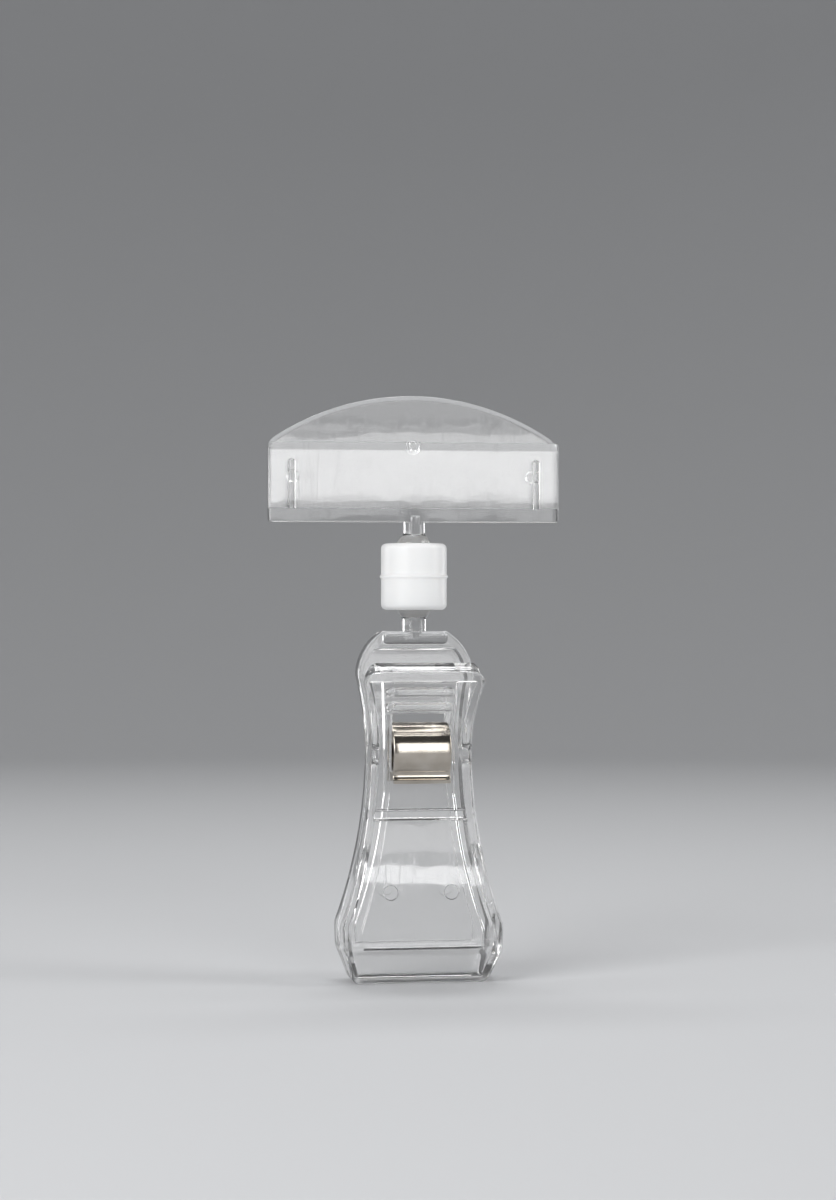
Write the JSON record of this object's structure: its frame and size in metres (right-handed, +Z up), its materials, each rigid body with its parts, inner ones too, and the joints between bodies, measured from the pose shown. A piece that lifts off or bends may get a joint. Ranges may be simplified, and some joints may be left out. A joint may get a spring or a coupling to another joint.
{
  "type": "clip sign holder",
  "caption": "Clear pinch clip with a steel strip spring, carrying an arched card-slot head on a white double ball-joint sleeve, to hold a price or table sign.",
  "frame": {"origin": "middle of the line where the closed jaw tips meet", "axes": "+Z up from the jaw tips through the ball joints to the arched head, +X to the right along the head's width, +Y from the front leg to the back leg"},
  "size_m": [0.052, 0.0196, 0.1036],
  "materials": {
    "clear_plastic": "clear moulded polystyrene, glossy",
    "plated_spring": "nickel-plated spring steel strip",
    "white_plastic": "white moulded plastic, satin"
  },
  "bodies": {
    "clip_back": {"back_leg": "clear_plastic", "clip_spring": "plated_spring"},
    "clip_front": {"front_leg": "clear_plastic"},
    "neck": {"ball_sleeve": "white_plastic"},
    "head": {"sign_head": "clear_plastic"}
  },
  "joints": [
    {"name": "clip_open", "type": "hinge", "parent": "clip_back", "child": "clip_front", "pos_m": [0, 0, 0.04], "axis": [-1, 0, 0], "range_deg": [0, 25], "stiffness_Nm_per_rad": 0.15, "springref_deg": -85.94, "deforming": ["clip_spring"]},
    {"name": "sleeve_swivel", "type": "hinge", "parent": "clip_back", "child": "neck", "pos_m": [0, 0.0045, 0.0667], "axis": [0, 0, 1], "continuous": true},
    {"name": "head_tilt", "type": "hinge", "parent": "neck", "child": "head", "pos_m": [0, 0.0045, 0.076], "axis": [1, 0, 0], "range_deg": [-25, 25]}
  ]
}
